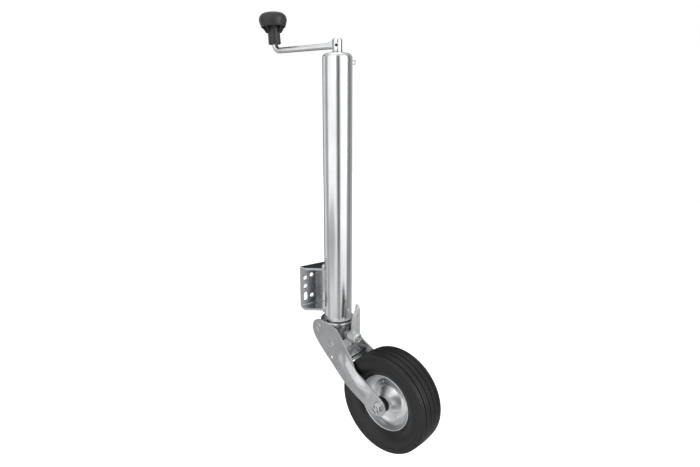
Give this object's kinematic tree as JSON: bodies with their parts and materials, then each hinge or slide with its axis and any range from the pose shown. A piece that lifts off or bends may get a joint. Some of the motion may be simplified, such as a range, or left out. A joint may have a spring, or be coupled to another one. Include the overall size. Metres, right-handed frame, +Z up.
{
  "type": "jockey wheel",
  "caption": "Trailer jockey wheel: telescopic mast with a top crank, a bolt-on channel bracket, a swinging fork with a latch and a solid rubber wheel.",
  "frame": {"origin": "centre of the rectangle of four bolt holes, on the back face of the bracket", "axes": "+X along the bracket's plate, +Y out of its back face into the drawbar, +Z up along the mast"},
  "size_m": [0.1781, 0.4474, 0.9029],
  "materials": {
    "galvanised_tube": "satin",
    "zinc_plated_steel": "satin",
    "weld_zinc": "rough",
    "bearing_steel": "polished",
    "bright_steel": "satin",
    "cast_zinc": "cast, zinc plated",
    "galvanised_fork": "matte zinc",
    "rim_steel": "satin",
    "brass_nut": "machined",
    "black_plastic": "fine grain",
    "white_plastic": "smooth",
    "black_rubber": "matte"
  },
  "bodies": {
    "mast": {"outer_tube": "galvanised_tube", "mounting_bracket": "zinc_plated_steel", "bracket_welds": "weld_zinc", "wire_eye": "zinc_plated_steel", "bearing_upper_race": "bearing_steel"},
    "crank": {"spindle": "bright_steel", "bearing_lower_race": "bearing_steel", "bearing_balls": "bearing_steel", "crank_hub": "zinc_plated_steel", "crank_pin": "bright_steel", "crank_arm": "zinc_plated_steel", "knob_clip": "bright_steel"},
    "knob": {"crank_knob": "black_plastic"},
    "swivel": {"guide_bush": "white_plastic"},
    "column": {"inner_tube": "galvanised_tube", "spindle_nut": "brass_nut", "collar_cup": "zinc_plated_steel", "column_head": "cast_zinc", "latch_pin": "bright_steel"},
    "latch": {"latch_lever": "cast_zinc", "latch_spring": "bright_steel"},
    "fork": {"fork_arm_near": "galvanised_fork", "fork_arm_far": "galvanised_fork", "fork_bridge": "galvanised_fork", "fork_cross_rod": "bright_steel", "stop_bar": "bright_steel", "fork_pivot_pin": "bright_steel", "axle_bolt": "zinc_plated_steel", "axle_nut": "zinc_plated_steel", "axle_washers": "zinc_plated_steel", "axle_spacers": "black_plastic"},
    "wheel": {"tyre": "black_rubber", "rim_near": "rim_steel", "rim_far": "rim_steel", "hub_cup_near": "rim_steel", "hub_cup_far": "rim_steel", "rim_rivets": "bright_steel", "hub_bush_near": "black_plastic", "hub_bush_far": "black_plastic"}
  },
  "joints": [
    {"name": "crank_turn", "type": "hinge", "parent": "mast", "child": "crank", "pos_m": [0, -0.065, 0.51], "axis": [0, 0, 1], "range_deg": [0, 22320]},
    {"name": "knob_spin", "type": "hinge", "parent": "crank", "child": "knob", "pos_m": [-0.05711, 0.0919, 0.52362], "axis": [-0.0239, 0.0656, 0.9976], "continuous": true},
    {"name": "column_swivel", "type": "hinge", "parent": "mast", "child": "swivel", "pos_m": [0, -0.065, -0.039], "axis": [0, 0, 1], "range_deg": [-103, 77]},
    {"name": "column_slide", "type": "slide", "parent": "swivel", "child": "column", "axis": [0, 0, -1], "range_m": [0, 0.248]},
    {"name": "fork_fold", "type": "hinge", "parent": "column", "child": "fork", "pos_m": [-0.0081, -0.02992, -0.092], "axis": [0.9744, 0.225, 0], "range_deg": [0, 110]},
    {"name": "wheel_spin", "type": "hinge", "parent": "fork", "child": "wheel", "pos_m": [0.03419, -0.2131, -0.2075], "axis": [-0.9744, -0.225, 0], "continuous": true},
    {"name": "latch_swing", "type": "hinge", "parent": "column", "child": "latch", "pos_m": [0.00743, -0.1105, -0.097], "axis": [0.225, -0.9744, 0], "range_deg": [0, 30], "stiffness_Nm_per_rad": 1.2, "springref_deg": -17.19}
  ],
  "couplings": [
    {"joint": "column_slide", "follows": "crank_turn", "m_per_rad": 0.00063662}
  ]
}
